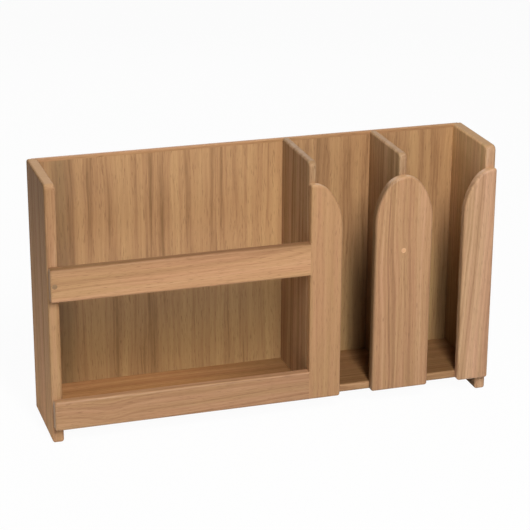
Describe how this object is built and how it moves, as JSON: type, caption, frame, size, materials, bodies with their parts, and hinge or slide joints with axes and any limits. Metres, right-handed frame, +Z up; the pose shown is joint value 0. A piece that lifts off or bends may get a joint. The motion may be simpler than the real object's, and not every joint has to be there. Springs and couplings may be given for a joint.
{
  "type": "magazine rack",
  "caption": "Low wooden magazine rack with a wide bay behind two rails, narrow bays behind arch-topped slats, a flat back and short feet.",
  "frame": {"origin": "middle of the footprint, on the surface that the feet stand on", "axes": "+X along the rack from the wide bay to the narrow bays, +Y from the front to the back, +Z up"},
  "size_m": [0.54, 0.115, 0.312],
  "materials": {
    "teak": "solid teak with a thin satin oil",
    "teak_plywood": "teak-veneered plywood, satin oiled, grain upright",
    "plug_teak": "teak plugs, sanded flush and oiled",
    "dowel_beech": "plain beech dowel, glued",
    "brass": "plain brass wood screws"
  },
  "bodies": {
    "root": {"left_side": "teak", "right_side": "teak", "bottom_shelf": "teak", "left_divider": "teak", "right_divider": "teak", "back_panel": "teak_plywood", "back_lipping": "teak", "lower_rail": "teak", "upper_rail": "teak", "left_slat": "teak", "centre_slat": "teak", "right_slat": "teak", "front_screws": "brass", "front_plugs": "plug_teak", "front_dowels": "dowel_beech", "rail_dowels": "dowel_beech", "shelf_dowels": "dowel_beech", "divider_screws": "brass", "divider_plugs": "plug_teak", "back_screws": "brass"}
  },
  "joints": []
}
